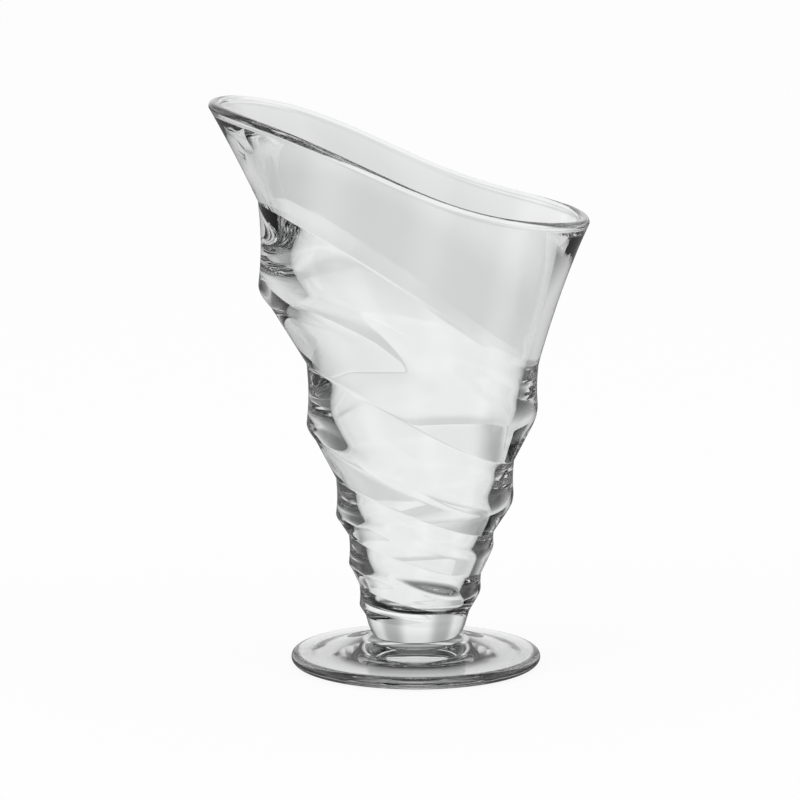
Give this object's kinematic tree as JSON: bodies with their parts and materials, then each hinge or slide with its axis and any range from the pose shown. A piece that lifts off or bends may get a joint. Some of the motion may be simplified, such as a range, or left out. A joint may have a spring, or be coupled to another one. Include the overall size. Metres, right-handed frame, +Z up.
{
  "type": "parfait glass",
  "caption": "Clear pressed-glass parfait cup: a conical bowl wound with a stepped spiral, an oblique wavy mouth, a solid stub and a fused round foot.",
  "frame": {"origin": "centre of the foot's resting plane", "axes": "+Z up through the foot, stub and mouth; -X towards the tall side of the mouth, +X towards its low side; -Y is the front seen in the picture"},
  "size_m": [0.114, 0.1048, 0.1722],
  "materials": {
    "clear_glass": "clear fire-polished pressed glass",
    "joint_glass": "clear glass, faintly pale at the fused joint"
  },
  "bodies": {
    "root": {"bowl": "clear_glass", "joint_wafer": "joint_glass", "foot": "clear_glass"}
  },
  "joints": []
}
